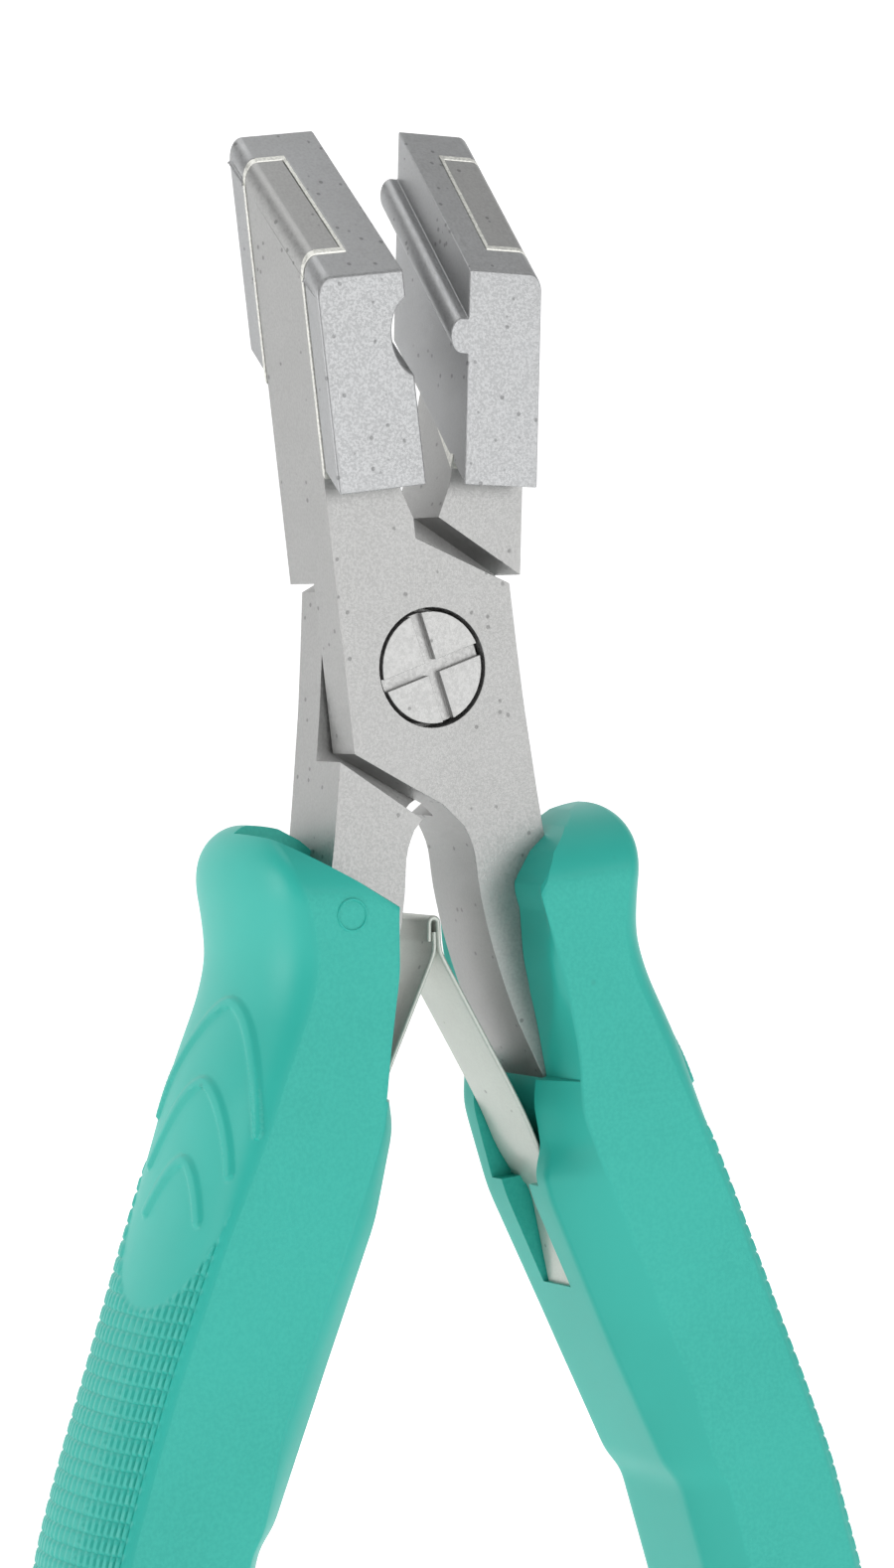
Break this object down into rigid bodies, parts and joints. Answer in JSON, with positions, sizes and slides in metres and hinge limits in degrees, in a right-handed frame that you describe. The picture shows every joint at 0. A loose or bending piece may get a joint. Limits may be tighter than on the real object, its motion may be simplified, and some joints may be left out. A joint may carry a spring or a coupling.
{
  "type": "flat nose pliers",
  "caption": "Lap-joint flat nose pliers with wide slanted rib-and-groove forming jaws, leaf return springs and cushioned grips.",
  "frame": {"origin": "centre of the bounding box at the level of the handle ends, the lowest points of the upright tool", "axes": "+Z from the handle ends up to the jaw tips, +X to the right seen from the screw-head side, +Y away from the screw-head side"},
  "size_m": [0.0716, 0.016, 0.1459],
  "materials": {
    "bar_steel": "fine bead-blasted tool steel",
    "jaw_steel": "fine bead-blasted tool steel with pale braze lines",
    "screw_steel": "satin turned steel",
    "spring_steel": "rolled spring steel",
    "grip_rubber": "satin teal moulded elastomer"
  },
  "bodies": {
    "front_half": {"front_half": "bar_steel", "left_jaw_block": "jaw_steel", "right_grip": "grip_rubber", "right_spring_rivet": "screw_steel"},
    "back_half": {"back_half": "bar_steel", "right_jaw_block": "jaw_steel", "pivot_screw": "screw_steel", "left_grip": "grip_rubber", "left_spring_rivet": "screw_steel"},
    "right_leaf": {"right_leaf_spring": "spring_steel"},
    "left_leaf": {"left_leaf_spring": "spring_steel"}
  },
  "joints": [
    {"name": "main_pivot", "type": "hinge", "parent": "front_half", "child": "back_half", "pos_m": [0, 0, 0.10695], "axis": [0, -1, 0], "range_deg": [0, 10], "stiffness_Nm_per_rad": 1.2},
    {"name": "right_leaf_root", "type": "hinge", "parent": "front_half", "child": "right_leaf", "pos_m": [0.008, 0, 0.07145], "axis": [0, -1, 0], "range_deg": [-5, 0]},
    {"name": "left_leaf_root", "type": "hinge", "parent": "back_half", "child": "left_leaf", "pos_m": [-0.008, 0, 0.07145], "axis": [0, -1, 0], "range_deg": [0, 6.85]}
  ],
  "couplings": [
    {"joint": "right_leaf_root", "follows": "main_pivot", "ratio": -0.5},
    {"joint": "left_leaf_root", "follows": "main_pivot", "ratio": 0.685}
  ]
}
